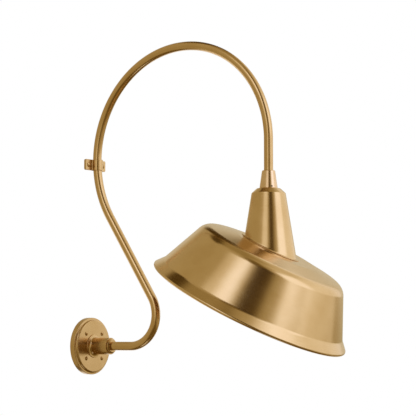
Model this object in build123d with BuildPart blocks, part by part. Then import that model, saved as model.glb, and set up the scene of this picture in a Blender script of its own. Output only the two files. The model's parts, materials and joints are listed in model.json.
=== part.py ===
from build123d import *
import os
from math import cos, radians, sin, sqrt, tan

# Gooseneck wall sconce in satin brass: a round stepped canopy and a turned hub carry a bent
# tube, which a strap clip steadies off the wall. A tapered collar at the tube's end carries
# the head, an oblique neck on a wide spun shade, with the lampholder and lamp inside.
#
# Millimetres. The wall is the plane Y = 0 and the arm reaches out along -Y. +Z is up.
# The origin is the centre of the canopy's back rim, on the wall.

os.makedirs("parts", exist_ok=True)

# ---------------------------------------------------------------- driving sizes
running_gap = 0.05          # radial, between a round part and the bore it sits in
turning_gap = 0.3           # between faces that turn or slide past each other

# Canopy, a cast cup with a coved step round its face
canopy_radius = 63.5
canopy_depth = 17.3
canopy_step = 4.5           # radius of the cove between side and face
canopy_edge = 1.8           # rounding of the face's rim
canopy_land = 0.9           # straight run between that rounding and the cove
canopy_wall = 3.0
canopy_screw_circle = 77.0  # diameter through the four screws
canopy_screw_count = 4

# Wall screws, countersunk with a domed top
wall_screw_head_radius = 4.0
wall_screw_sink_angle = 90.0
wall_screw_dome = 0.9
wall_screw_shank = 1.6      # radius of the plain shank under the head
wall_screw_radius = 2.1     # over the thread, which starts at the wall
wall_screw_bite = 22.0      # length that goes into the wall
cross_recess_share = 1.1    # length of a cross recess as a share of its head's radius
cross_blade_share = 0.22

# Hub, turned and bored through for the leads
hub_base_radius = 25.0
hub_base_thickness = 6.5
hub_base_edge = 1.6
hub_radius = 18.3
hub_length = 41.0
hub_nose_radius = 16.0
hub_nose_length = 5.4
hub_nose_chamfer = 2.4
hub_spigot_radius = 10.0
hub_spigot_length = 11.5
hub_lead_bore = 7.0
hub_socket_depth = 36.0     # how far the tube goes into the hub and nose
hub_set_screw_radius = 2.5
set_screw_recess = 1.0      # how far a set screw's end lies below the surface
hub_set_screw_place = 14.0  # from the hub's front end back to the screw

# Lock washers and locknuts
washer_thickness = 1.2
washer_overlap = 3.0        # washer's radius beyond the thread it is on
nut_thickness = 4.0
nut_overlap = 5.0           # nut's half width across flats beyond the thread

# Gooseneck tube
tube_radius = 9.525
tube_wall = 1.6
tube_off_wall = 13.9        # clear gap between the wall and the back of the bow
lower_bend_radius = 68.0
lower_bend_angle = 123.0
slant_length = 213.0
bow_radius = 236.0
bow_angle = 133.0
crook_radius = 218.5        # the last bend, which leaves the tube's end plumb
drop_length = 88.5          # straight run from the crook to the tube's end

# Clip that steadies the tube off the wall
clip_drop = 9.2             # clip's middle below the bow's centre
clip_height = 24.0
clip_width = 74.0
strap_thickness = 2.0
strap_corner = 5.0
strap_bend_radius = 1.6     # where the loop turns into its ears
clip_base_thickness = 2.0
clip_screw_spacing = 40.0
clip_screw_radius = 2.4
clip_head_radius = 5.5
clip_head_height = 2.6
clip_head_dome = 0.8        # rounded share of the head's height
clip_screw_tail = 1.6       # thread that shows behind the base
stand_off_radius = 7.5
clip_screw_bite = 12.0      # length of the clip's wall screw that goes into the wall

# Collar at the tube's end
collar_height = 37.5
collar_top_radius = 13.8
collar_base_radius = 19.0
collar_top_edge = 1.4
collar_socket_depth = 24.0  # how far the tube goes into the collar
collar_screw_radius = 2.0
collar_screw_level = 3.8    # above the collar's base
collar_screw_recess = 2.5   # how far that screw's end lies below the cone
collar_screw_turn = -125.3  # direction of the set screw about the tube, from +X
dog_radius = 1.2            # dog point of the set screw

# Hollow nipple that hangs the head in the collar
nipple_radius = 8.0
nipple_bore = 5.5
nipple_flange_radius = 12.0
nipple_flange = 1.0
nipple_groove_depth = 1.3
nipple_drop = 34.0          # below the neck's top face

# Neck, spun, cut obliquely where it meets the shade
neck_wall = 1.4
neck_top_radius = 24.5
neck_shoulder_radius = 35.6
neck_shoulder_drop = 10.0
neck_shoulder_edge = 3.0
neck_base_radius = 53.4     # cone's radius where its axis meets the shade's top
neck_length = 120.4         # along the axis, top face to the shade's top
neck_flange_width = 5.5
neck_flange_thickness = 1.4

# Shade, a spun bowl with a flared skirt and a rolled rim
shade_tilt = 27.5           # from level, opening towards the wall
shade_swivel = 11.2         # rest turn of the head about the tube's end
shade_offset = 19.7         # neck axis to shade axis, measured down the shade's top
shade_wall = 1.2
shade_flat_radius = 88.0
shade_shoulder_radius = 158.5
shade_shoulder_drop = 11.5
shade_shoulder_bend = 29.0
shade_skirt_height = 100.3  # shoulder corner down to the start of the flare
shade_skirt_spread = 45.4   # how far the skirt widens in that height
shade_flare_height = 16.0
shade_flare_spread = 14.0
shade_flare_bend = 20.0
bead_radius = 4.2
bead_wrap = 265.0           # degrees that the rim is rolled through
shade_hole_radius = 42.0

# Lampholder, a cap, a ceramic cup, a screw shell and a centre contact
holder_cap_radius = 21.0
holder_cap_height = 20.0
holder_cap_wall = 1.2
holder_cap_edge = 5.0
holder_boss_radius = 12.0
holder_boss_height = 8.0
holder_height = 46.0
holder_floor = 12.0
holder_rim_edge = 1.5
shell_wall = 0.5
shell_height = 28.0
contact_radius = 4.0
contact_thickness = 1.2
contact_stem_recess = 1.0   # how far the contact's stem ends below the cup's top
terminal_radius = 2.0
terminal_head_radius = 3.4
terminal_head_height = 1.6
terminal_depth = 3.0
terminal_drop = 8.0         # below the cup's floor

# Lamp
lamp_cap_radius = 13.1
lamp_cap_height = 25.0
lamp_cap_wall = 0.4
lamp_button_radius = 4.5
lamp_button_height = 2.4
lamp_insulator_height = 3.0
lamp_insulator_top_lip = 1.0   # insulator's top radius beyond the button
lamp_insulator_inset = 2.0  # insulator's base radius inside the metal cap's
lamp_bulb_radius = 30.0
lamp_bulb_height = 82.0     # glass below the metal cap
lamp_glass_wall = 0.8

# ---------------------------------------------------------------- places worked out from them
canopy_face_radius = canopy_radius - canopy_step
canopy_front = Plane(origin=(0, -canopy_depth, 0), x_dir=(1, 0, 0), z_dir=(0, -1, 0))
canopy_inside = canopy_depth - canopy_wall
hub_front = canopy_depth + hub_base_thickness + hub_length
nose_front = hub_front + hub_nose_length
tube_start = nose_front - hub_socket_depth
tube_bore = tube_radius + running_gap
wall_screw_hole = wall_screw_radius + running_gap
wall_screw_head_depth = ((wall_screw_head_radius - wall_screw_shank)
                         / tan(radians(wall_screw_sink_angle / 2)))


def wall_screw(dome, plain_length, bite):
    """A countersunk wall screw: its head's rim is at z = 0, its top is domed, and its thread starts
    below the plain shank, plain_length under the rim, and goes bite into the wall."""
    tip = -plain_length - bite
    recess = cross_recess_share * wall_screw_head_radius
    blade = cross_blade_share * wall_screw_head_radius
    with BuildPart(mode=Mode.PRIVATE) as screw:
        with BuildSketch(Plane.XZ):
            with BuildLine():
                top = RadiusArc((0, dome), (wall_screw_head_radius, 0),
                                (wall_screw_head_radius ** 2 + dome ** 2) / (2 * dome))
                Polyline(top @ 1, (wall_screw_shank, -wall_screw_head_depth), (wall_screw_shank, -plain_length),
                         (wall_screw_radius, -plain_length), (wall_screw_radius, tip), (0, tip), top @ 0)
            make_face()
        revolve(axis=Axis.Z)
        with BuildSketch(Plane.XY.offset(2 * dome)):
            Rectangle(recess, blade)
            Rectangle(blade, recess)
        extrude(amount=-3 * dome, mode=Mode.SUBTRACT)
    return screw.part


def nut_outline(thread_radius):
    """A hexagon locknut's outline round its thread."""
    RegularPolygon(thread_radius + nut_overlap, 6, major_radius=False)
    Circle(thread_radius + running_gap, mode=Mode.SUBTRACT)


def washer_outline(thread_radius):
    """A flat washer's outline round the thread it is on."""
    Circle(thread_radius + washer_overlap)
    Circle(thread_radius + running_gap, mode=Mode.SUBTRACT)


# ---------------------------------------------------------------- canopy
with BuildPart() as canopy:
    with BuildSketch(Plane.XY):
        with BuildLine():
            face = Line((hub_spigot_radius + running_gap, -canopy_depth),
                        (canopy_face_radius - canopy_edge, -canopy_depth))
            rim = JernArc(face @ 1, face % 1, canopy_edge, 90)
            land = Line(rim @ 1, (rim @ 1) + Vector(0, canopy_land))
            cove = JernArc(land @ 1, land % 1, canopy_step, -90)
            Polyline(cove @ 1, (canopy_radius, 0), (canopy_face_radius - canopy_wall, 0),
                     (canopy_face_radius - canopy_wall, -canopy_inside),
                     (hub_spigot_radius + running_gap, -canopy_inside), face @ 0)
        make_face()
    revolve(axis=Axis.Y)
    with BuildSketch(canopy_front):
        with PolarLocations(canopy_screw_circle / 2, canopy_screw_count, start_angle=45):
            Circle(wall_screw_hole)
    extrude(amount=-canopy_depth, mode=Mode.SUBTRACT)
    with Locations(canopy_front):
        with PolarLocations(canopy_screw_circle / 2, canopy_screw_count, start_angle=45):
            CounterSinkHole(wall_screw_hole, wall_screw_head_radius + running_gap,
                            depth=canopy_wall, counter_sink_angle=wall_screw_sink_angle)
canopy.part.label = "canopy"

canopy_screw = wall_screw(wall_screw_dome, canopy_depth, wall_screw_bite)
with BuildPart() as canopy_screws:
    for place in PolarLocations(canopy_screw_circle / 2, canopy_screw_count, start_angle=45):
        add(canopy_screw.moved(canopy_front.location * place))
canopy_screws.part.label = "canopy_screws"

# ---------------------------------------------------------------- hub
with BuildPart() as hub_base_ring:
    with BuildSketch(canopy_front):
        Circle(hub_base_radius)
        Circle(hub_spigot_radius + running_gap, mode=Mode.SUBTRACT)
    extrude(amount=hub_base_thickness)
    front_rim = hub_base_ring.edges().filter_by(GeomType.CIRCLE).group_by(Axis.Y)[0].sort_by(SortBy.RADIUS)[-1]
    fillet(front_rim, radius=hub_base_edge)
hub_base_ring.part.label = "hub_base_ring"

hub_back = canopy_depth + hub_base_thickness
spigot_back = hub_back - hub_base_thickness - hub_spigot_length
with BuildPart() as hub:
    with BuildSketch(Plane.XY):
        with BuildLine():
            Polyline((hub_lead_bore, -spigot_back), (hub_spigot_radius, -spigot_back),
                     (hub_spigot_radius, -hub_back), (hub_radius, -hub_back),
                     (hub_radius, -hub_front), (tube_bore, -hub_front),
                     (tube_bore, -tube_start), (hub_lead_bore, -tube_start), close=True)
        make_face()
    revolve(axis=Axis.Y)
    set_screw_y = -(hub_front - hub_set_screw_place)
    with BuildSketch(Plane(origin=(0, set_screw_y, -hub_radius), x_dir=(1, 0, 0), z_dir=(0, 0, 1))):
        Circle(hub_set_screw_radius + running_gap)
    extrude(amount=hub_radius - tube_radius, mode=Mode.SUBTRACT)
hub.part.label = "hub"

with BuildPart() as hub_set_screw:
    with BuildSketch(Plane(origin=(0, set_screw_y, -tube_radius), x_dir=(1, 0, 0), z_dir=(0, 0, -1))):
        Circle(hub_set_screw_radius)
    extrude(amount=hub_radius - tube_radius - set_screw_recess)
    screw_end = Plane(origin=(0, set_screw_y, set_screw_recess - hub_radius), x_dir=(1, 0, 0), z_dir=(0, 0, 1))
    with BuildSketch(screw_end):
        RegularPolygon(hub_set_screw_radius / 2, 6, major_radius=False)
    extrude(amount=hub_set_screw_radius, mode=Mode.SUBTRACT)
hub_set_screw.part.label = "hub_set_screw"

with BuildPart() as hub_nose_ring:
    with BuildSketch(Plane.XY):
        with BuildLine():
            Polyline((tube_bore, -hub_front), (hub_nose_radius, -hub_front),
                     (hub_nose_radius, -nose_front + hub_nose_chamfer),
                     (hub_nose_radius - hub_nose_chamfer, -nose_front), (tube_bore, -nose_front),
                     close=True)
        make_face()
    revolve(axis=Axis.Y)
hub_nose_ring.part.label = "hub_nose_ring"

inner_face = Plane(origin=(0, -canopy_inside, 0), x_dir=(1, 0, 0), z_dir=(0, 1, 0))
with BuildPart() as hub_lock_washer:
    with BuildSketch(inner_face):
        washer_outline(hub_spigot_radius)
    extrude(amount=washer_thickness)
hub_lock_washer.part.label = "hub_lock_washer"

with BuildPart() as hub_locknut:
    with BuildSketch(inner_face.offset(washer_thickness)):
        nut_outline(hub_spigot_radius)
    extrude(amount=nut_thickness)
hub_locknut.part.label = "hub_locknut"

# ---------------------------------------------------------------- gooseneck tube
# The stub is as long as it takes for the bow's back to come within its gap of the wall.
bow_lean = radians(lower_bend_angle)
stub_reach = (tube_off_wall + tube_radius + bow_radius - (lower_bend_radius + bow_radius) * sin(bow_lean)
              - slant_length * cos(bow_lean))
with BuildLine(Plane.YZ) as arm_path:
    stub = Line((-tube_start, 0), (-stub_reach, 0))
    lower_bend = JernArc(stub @ 1, stub % 1, lower_bend_radius, -lower_bend_angle)
    slant = Line(lower_bend @ 1, (lower_bend @ 1) + (lower_bend % 1) * slant_length)
    bow = JernArc(slant @ 1, slant % 1, bow_radius, bow_angle)
    crook = JernArc(bow @ 1, bow % 1, crook_radius, lower_bend_angle + 90 - bow_angle)
    drop = Line(crook @ 1, (crook @ 1) - Vector(0, 0, drop_length))
tube_section = Plane(origin=stub @ 0, x_dir=(1, 0, 0), z_dir=stub % 0)

with BuildPart() as gooseneck_arm:
    with BuildSketch(tube_section):
        Circle(tube_radius)
        Circle(tube_radius - tube_wall, mode=Mode.SUBTRACT)
    sweep(path=arm_path.wires()[0])
gooseneck_arm.part.label = "gooseneck_arm"

with BuildPart() as arm_space:
    with BuildSketch(tube_section):
        Circle(tube_bore)
    sweep(path=arm_path.wires()[0])

# ---------------------------------------------------------------- clip
bow_centre = bow.arc_center
clip_level = bow_centre.Z - clip_drop
tube_y = bow_centre.Y + sqrt(bow_radius ** 2 - clip_drop ** 2)
ear_back = tube_y + tube_radius + running_gap
ear_front = ear_back - strap_thickness
loop_radius = tube_bore + strap_thickness
clip_bottom = Plane.XY.offset(clip_level - clip_height / 2)
clip_screw_places = [(-clip_screw_spacing / 2, clip_level), (clip_screw_spacing / 2, clip_level)]
ear_face = Plane(origin=(0, ear_front, 0), x_dir=(1, 0, 0), z_dir=(0, -1, 0))

with BuildPart() as clip_strap:
    with BuildSketch(clip_bottom):
        with Locations((0, tube_y)):
            Circle(loop_radius)
        with Locations((0, (tube_y + ear_back) / 2)):
            Rectangle(2 * loop_radius, ear_back - tube_y)
        with Locations((0, ear_back + loop_radius)):
            Rectangle(2 * loop_radius, 2 * loop_radius, mode=Mode.SUBTRACT)
        with Locations((0, (ear_front + ear_back) / 2)):
            Rectangle(clip_width, strap_thickness)
    extrude(amount=clip_height)
    uprights = clip_strap.edges().filter_by(Axis.Z)
    bends = uprights.filter_by_position(Axis.Y, ear_front - turning_gap, ear_front + turning_gap)
    fillet(bends.filter_by_position(Axis.X, -clip_screw_spacing / 2, clip_screw_spacing / 2),
           radius=strap_bend_radius)
    with BuildSketch(clip_bottom):
        with Locations((0, (tube_y + ear_back) / 2)):
            Rectangle(2 * tube_bore, ear_back - tube_y)
    extrude(amount=clip_height, mode=Mode.SUBTRACT)
    add(arm_space.part, mode=Mode.SUBTRACT)
    with BuildSketch(Plane(origin=(0, ear_back, clip_level), x_dir=(1, 0, 0), z_dir=(0, -1, 0))):
        RectangleRounded(clip_width, clip_height, strap_corner)
    extrude(amount=ear_back - tube_y + loop_radius, mode=Mode.INTERSECT)
    with BuildSketch(ear_face):
        with Locations(*clip_screw_places):
            Circle(clip_screw_radius + running_gap)
    extrude(amount=-strap_thickness, mode=Mode.SUBTRACT)
clip_strap.part.label = "clip_strap"

base_front = Plane(origin=(0, ear_back, 0), x_dir=(1, 0, 0), z_dir=(0, -1, 0))
base_back = ear_back + clip_base_thickness
with BuildPart() as clip_base:
    with BuildSketch(base_front):
        with Locations((0, clip_level)):
            RectangleRounded(clip_width, clip_height, strap_corner)
        with Locations(*clip_screw_places):
            Circle(clip_screw_radius + running_gap, mode=Mode.SUBTRACT)
    extrude(amount=-clip_base_thickness)
    add(arm_space.part, mode=Mode.SUBTRACT)
    with Locations(base_front):
        with Locations((0, clip_level)):
            CounterSinkHole(wall_screw_hole, wall_screw_head_radius + running_gap,
                            depth=clip_base_thickness, counter_sink_angle=wall_screw_sink_angle)
clip_base.part.label = "clip_base"

with BuildPart() as clip_stand_off:
    with BuildSketch(Plane(origin=(0, base_back, clip_level), x_dir=(1, 0, 0), z_dir=(0, 1, 0))):
        Circle(stand_off_radius)
        Circle(wall_screw_hole, mode=Mode.SUBTRACT)
    extrude(amount=-base_back)
clip_stand_off.part.label = "clip_stand_off"

with BuildPart() as clip_wall_screw:
    head = Plane(origin=(0, ear_back + running_gap, clip_level), x_dir=(1, 0, 0), z_dir=(0, -1, 0))
    with BuildSketch(Plane(origin=head.origin, x_dir=(1, 0, 0), z_dir=(0, 0, 1))):
        with BuildLine():
            Polyline((0, 0), (wall_screw_head_radius, 0), (wall_screw_shank, wall_screw_head_depth),
                     (wall_screw_shank, -head.origin.Y), (wall_screw_radius, -head.origin.Y),
                     (wall_screw_radius, clip_screw_bite - head.origin.Y), (0, clip_screw_bite - head.origin.Y),
                     close=True)
        make_face()
    revolve(axis=Axis(head.origin, (0, 1, 0)))
clip_wall_screw.part.label = "clip_wall_screw"

with BuildPart() as clip_screws:
    with BuildSketch(ear_face):
        with Locations(*clip_screw_places):
            Circle(clip_head_radius)
    extrude(amount=clip_head_height)
    rims = clip_screws.edges().filter_by(GeomType.CIRCLE).group_by(Axis.Y)[0]
    fillet(rims, radius=clip_head_height * clip_head_dome)
    with BuildSketch(ear_face):
        with Locations(*clip_screw_places):
            Circle(clip_screw_radius)
    extrude(amount=-(strap_thickness + clip_base_thickness + clip_screw_tail))
    with BuildSketch(ear_face.offset(clip_head_height)):
        with Locations(*clip_screw_places):
            Rectangle(cross_recess_share * clip_head_radius, cross_blade_share * clip_head_radius)
            Rectangle(cross_blade_share * clip_head_radius, cross_recess_share * clip_head_radius)
    extrude(amount=-clip_head_height / 2, mode=Mode.SUBTRACT)
clip_screws.part.label = "clip_screws"

# ---------------------------------------------------------------- collar
tube_end = drop @ 1
hang_y = tube_end.Y
collar_top = tube_end.Z + collar_socket_depth
collar_base = collar_top - collar_height
neck_top = collar_base - turning_gap
hang_axis = Axis((0, hang_y, 0), (0, 0, 1))
hang_plane = Plane(origin=(0, hang_y, 0), x_dir=(1, 0, 0), z_dir=(0, -1, 0))
flange_pocket = nipple_flange + turning_gap
nipple_top = tube_end.Z - turning_gap

with BuildPart() as neck_collar:
    with BuildSketch(hang_plane):
        with BuildLine():
            Polyline((nipple_flange_radius + turning_gap, collar_base), (collar_base_radius, collar_base),
                     (collar_top_radius, collar_top - collar_top_edge),
                     (collar_top_radius - collar_top_edge, collar_top), (tube_bore, collar_top),
                     (tube_bore, tube_end.Z), (nipple_radius + running_gap, tube_end.Z),
                     (nipple_radius + running_gap, collar_base + flange_pocket),
                     (nipple_flange_radius + turning_gap, collar_base + flange_pocket), close=True)
        make_face()
    revolve(axis=hang_axis)
    screw_line = Plane(origin=(0, hang_y, collar_base + collar_screw_level), x_dir=(0, 0, 1),
                       z_dir=(cos(radians(collar_screw_turn)), sin(radians(collar_screw_turn)), 0))
    with BuildSketch(screw_line):
        Circle(collar_screw_radius + running_gap)
    extrude(amount=2 * collar_base_radius, mode=Mode.SUBTRACT)
neck_collar.part.label = "neck_collar"

groove_floor = nipple_radius - nipple_groove_depth
with BuildPart() as collar_set_screw:
    with BuildSketch(screw_line.offset(nipple_radius + turning_gap)):
        Circle(collar_screw_radius)
    extrude(amount=collar_base_radius - nipple_radius - collar_screw_recess)
    with BuildSketch(screw_line.offset(groove_floor + turning_gap)):
        Circle(dog_radius)
    extrude(amount=nipple_groove_depth)
    socket_end = screw_line.offset(collar_base_radius - collar_screw_recess + turning_gap)
    with BuildSketch(socket_end):
        RegularPolygon(collar_screw_radius / 2, 6, major_radius=False)
    extrude(amount=-collar_screw_radius, mode=Mode.SUBTRACT)
collar_set_screw.part.label = "collar_set_screw"

# ---------------------------------------------------------------- head: nipple, washer and nut
groove_half = dog_radius + turning_gap
groove_level = collar_base + collar_screw_level
nipple_bottom = neck_top - nipple_drop
with BuildPart() as head_nipple:
    with BuildSketch(hang_plane):
        with BuildLine():
            Polyline((nipple_bore, nipple_bottom), (nipple_radius, nipple_bottom),
                     (nipple_radius, neck_top), (nipple_flange_radius, neck_top),
                     (nipple_flange_radius, neck_top + nipple_flange),
                     (nipple_radius, neck_top + nipple_flange),
                     (nipple_radius, groove_level - groove_half), (groove_floor, groove_level - groove_half),
                     (groove_floor, groove_level + groove_half), (nipple_radius, groove_level + groove_half),
                     (nipple_radius, nipple_top), (nipple_bore, nipple_top), close=True)
        make_face()
    revolve(axis=hang_axis)
head_nipple.part.label = "head_nipple"

neck_inside = Plane(origin=(0, hang_y, neck_top - neck_wall), x_dir=(1, 0, 0), z_dir=(0, 0, -1))
with BuildPart() as nipple_washer:
    with BuildSketch(neck_inside):
        washer_outline(nipple_radius)
    extrude(amount=washer_thickness)
nipple_washer.part.label = "nipple_washer"

with BuildPart() as nipple_locknut:
    with BuildSketch(neck_inside.offset(washer_thickness)):
        nut_outline(nipple_radius)
    extrude(amount=nut_thickness)
nipple_locknut.part.label = "nipple_locknut"

# ---------------------------------------------------------------- neck
head_out = Vector(sin(radians(shade_swivel)), -cos(radians(shade_swivel)), 0)
shade_up = Vector(0, 0, 1) * cos(radians(shade_tilt)) + head_out * sin(radians(shade_tilt))
shade_down_slope = head_out * cos(radians(shade_tilt)) - Vector(0, 0, 1) * sin(radians(shade_tilt))
seat_point = Vector(0, hang_y, neck_top - neck_length)
seat = Plane(origin=seat_point, x_dir=shade_down_slope, z_dir=shade_up)
cone_slope = (neck_base_radius - neck_shoulder_radius) / (neck_length - neck_shoulder_drop)
overrun = neck_base_radius  # the cone is made this much too long, then cut at the shade's top
cone_end_radius = neck_base_radius + cone_slope * overrun
cone_end = seat_point.Z - overrun

# The shade's flat top cuts the neck's cone in an ellipse, moved down the slope from the axis.
foot_narrowing = cos(radians(shade_tilt)) ** 2 - (cone_slope * sin(radians(shade_tilt))) ** 2
foot_shift = neck_base_radius * cone_slope * sin(radians(shade_tilt)) / foot_narrowing
foot_short = sqrt(neck_base_radius ** 2 + foot_narrowing * foot_shift ** 2)
foot_long = foot_short / sqrt(foot_narrowing)

with BuildPart() as neck:
    with BuildSketch(hang_plane):
        with BuildLine():
            crown = FilletPolyline((0, neck_top), (neck_top_radius, neck_top),
                                   (neck_shoulder_radius, neck_top - neck_shoulder_drop),
                                   (cone_end_radius, cone_end), radius=neck_shoulder_edge)
            Polyline(crown @ 1, (0, cone_end), (0, neck_top))
        make_face()
    revolve(axis=hang_axis)
    split(bisect_by=seat, keep=Keep.TOP)
    with BuildSketch(seat):
        with Locations((foot_shift, 0)):
            Ellipse(foot_long + neck_flange_width, foot_short + neck_flange_width)
    extrude(amount=neck_flange_thickness)
    with BuildSketch(hang_plane):
        with BuildLine():
            inner = FilletPolyline((0, neck_top - neck_wall),
                                   (neck_top_radius - neck_wall / 2, neck_top - neck_wall),
                                   (neck_shoulder_radius - neck_wall,
                                    neck_top - neck_shoulder_drop - neck_wall / 2),
                                   (cone_end_radius - neck_wall, cone_end),
                                   radius=neck_shoulder_edge - neck_wall)
            Polyline(inner @ 1, (0, cone_end), (0, neck_top - neck_wall))
        make_face()
    revolve(axis=hang_axis, mode=Mode.SUBTRACT)
    with BuildSketch(Plane(origin=(0, hang_y, neck_top), x_dir=(1, 0, 0), z_dir=(0, 0, 1))):
        Circle(nipple_radius + running_gap)
    extrude(amount=-2 * neck_wall, mode=Mode.SUBTRACT)
neck.part.label = "neck"

# ---------------------------------------------------------------- shade
shade_top = seat_point + shade_down_slope * shade_offset
shade_axis = Axis(shade_top, shade_up)
shade_section = Plane(origin=shade_top, x_dir=shade_down_slope, z_dir=shade_down_slope.cross(shade_up))
flare_start = (shade_shoulder_radius + shade_skirt_spread, -shade_shoulder_drop - shade_skirt_height)
flare_end = (flare_start[0] + shade_flare_spread, flare_start[1] - shade_flare_height)

with BuildPart() as shade:
    with BuildSketch(shade_section):
        with BuildLine() as shade_outline:
            skin = FilletPolyline((0, 0), (shade_flat_radius, 0), (shade_shoulder_radius, -shade_shoulder_drop),
                                  flare_start, flare_end,
                                  radius=(shade_shoulder_bend, shade_shoulder_bend, shade_flare_bend))
            JernArc(skin @ 1, skin % 1, bead_radius, -bead_wrap)
            offset(amount=shade_wall, side=Side.LEFT)
        make_face()
    revolve(axis=shade_axis)
    with BuildSketch(seat):
        Circle(shade_hole_radius)
    extrude(amount=shade_wall * 2, both=True, mode=Mode.SUBTRACT)
shade.part.label = "shade"

# ---------------------------------------------------------------- lampholder
cap_top = nipple_bottom + holder_boss_height
cap_roof = cap_top - holder_boss_height
with BuildPart() as lampholder_cap:
    with BuildSketch(hang_plane):
        with BuildLine():
            outer = FilletPolyline((holder_boss_radius, cap_top),
                                   (holder_boss_radius, cap_roof + holder_cap_wall),
                                   (holder_cap_radius, cap_roof + holder_cap_wall),
                                   (holder_cap_radius, cap_roof - holder_cap_height),
                                   radius=(holder_cap_wall, holder_cap_edge))
            Polyline(outer @ 1, (holder_cap_radius - holder_cap_wall, cap_roof - holder_cap_height),
                     (holder_cap_radius - holder_cap_wall, cap_roof - holder_cap_edge),
                     (holder_cap_radius - holder_cap_edge, cap_roof), (nipple_radius + running_gap, cap_roof),
                     (nipple_radius + running_gap, cap_top), outer @ 0)
        make_face()
    revolve(axis=hang_axis)
lampholder_cap.part.label = "lampholder_cap"

holder_radius = holder_cap_radius - holder_cap_wall - running_gap
cup_top = cap_roof - holder_cap_edge
cup_bottom = cup_top - holder_height
cup_floor = cup_top - holder_floor
shell_outer = lamp_cap_radius + turning_gap + shell_wall
with BuildPart() as lampholder_cup:
    with BuildSketch(hang_plane):
        with BuildLine():
            Polyline((contact_radius / 2, cup_top), (holder_radius, cup_top), (holder_radius, cup_bottom),
                     (shell_outer + running_gap, cup_bottom), (shell_outer + running_gap, cup_floor),
                     (contact_radius / 2, cup_floor), close=True)
        make_face()
    revolve(axis=hang_axis)
    rims = lampholder_cup.edges().filter_by(GeomType.CIRCLE).group_by(Axis.Z)[0]
    fillet(rims.sort_by(SortBy.RADIUS)[-1], radius=holder_rim_edge)
    for side in (0, 180):
        terminal_line = Plane(origin=(0, hang_y, cup_floor - terminal_drop), x_dir=(0, 0, 1),
                              z_dir=(cos(radians(side)), sin(radians(side)), 0))
        with BuildSketch(terminal_line.offset(holder_radius)):
            Circle(terminal_radius + running_gap)
        extrude(amount=-terminal_depth - running_gap, mode=Mode.SUBTRACT)
lampholder_cup.part.label = "lampholder_cup"

with BuildPart() as screw_shell:
    with BuildSketch(Plane(origin=(0, hang_y, cup_floor), x_dir=(1, 0, 0), z_dir=(0, 0, -1))):
        Circle(shell_outer)
        Circle(shell_outer - shell_wall, mode=Mode.SUBTRACT)
    extrude(amount=shell_height)
screw_shell.part.label = "screw_shell"

with BuildPart() as centre_contact:
    with BuildSketch(Plane(origin=(0, hang_y, cup_floor), x_dir=(1, 0, 0), z_dir=(0, 0, -1))):
        Circle(contact_radius)
    extrude(amount=contact_thickness)
    with BuildSketch(Plane(origin=(0, hang_y, cup_floor), x_dir=(1, 0, 0), z_dir=(0, 0, 1))):
        Circle(contact_radius / 2 - running_gap)
    extrude(amount=holder_floor - contact_stem_recess)
centre_contact.part.label = "centre_contact"

with BuildPart() as terminal_screws:
    for side in (0, 180):
        terminal_line = Plane(origin=(0, hang_y, cup_floor - terminal_drop), x_dir=(0, 0, 1),
                              z_dir=(cos(radians(side)), sin(radians(side)), 0))
        with BuildSketch(terminal_line.offset(holder_radius)):
            Circle(terminal_head_radius)
        extrude(amount=terminal_head_height)
        with BuildSketch(terminal_line.offset(holder_radius)):
            Circle(terminal_radius)
        extrude(amount=-terminal_depth)
        with BuildSketch(terminal_line.offset(holder_radius + terminal_head_height)):
            Rectangle(2 * terminal_head_radius, terminal_head_radius / 3)
        extrude(amount=-terminal_head_height / 2, mode=Mode.SUBTRACT)
terminal_screws.part.label = "terminal_screws"

# ---------------------------------------------------------------- lamp
button_top = cup_floor - contact_thickness - turning_gap
lamp_insulator_top = button_top - lamp_button_height
lamp_cap_top = lamp_insulator_top - lamp_insulator_height
lamp_cap_bottom = lamp_cap_top - lamp_cap_height
lamp_bottom = lamp_cap_bottom - lamp_bulb_height
lamp_ball_centre = lamp_bottom + lamp_bulb_radius

with BuildPart() as lamp_contact:
    with BuildSketch(Plane(origin=(0, hang_y, lamp_insulator_top), x_dir=(1, 0, 0), z_dir=(0, 0, 1))):
        Circle(lamp_button_radius)
    extrude(amount=lamp_button_height)
    fillet(lamp_contact.edges().group_by(Axis.Z)[-1], radius=lamp_button_height / 2)
lamp_contact.part.label = "lamp_contact"

with BuildPart() as lamp_insulator:
    with BuildSketch(hang_plane):
        with BuildLine():
            Polyline((0, lamp_insulator_top), (lamp_button_radius + lamp_insulator_top_lip, lamp_insulator_top),
                     (lamp_cap_radius - lamp_insulator_inset, lamp_cap_top), (0, lamp_cap_top), close=True)
        make_face()
    revolve(axis=hang_axis)
lamp_insulator.part.label = "lamp_insulator"

with BuildPart() as lamp_cap:
    with BuildSketch(Plane(origin=(0, hang_y, lamp_cap_top), x_dir=(1, 0, 0), z_dir=(0, 0, -1))):
        Circle(lamp_cap_radius)
    extrude(amount=lamp_cap_height)
    hollow_top = Plane(origin=(0, hang_y, lamp_cap_top - lamp_cap_wall), x_dir=(1, 0, 0), z_dir=(0, 0, -1))
    with BuildSketch(hollow_top):
        Circle(lamp_cap_radius - lamp_cap_wall)
    extrude(amount=lamp_cap_height, mode=Mode.SUBTRACT)
lamp_cap.part.label = "lamp_cap"

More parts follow.
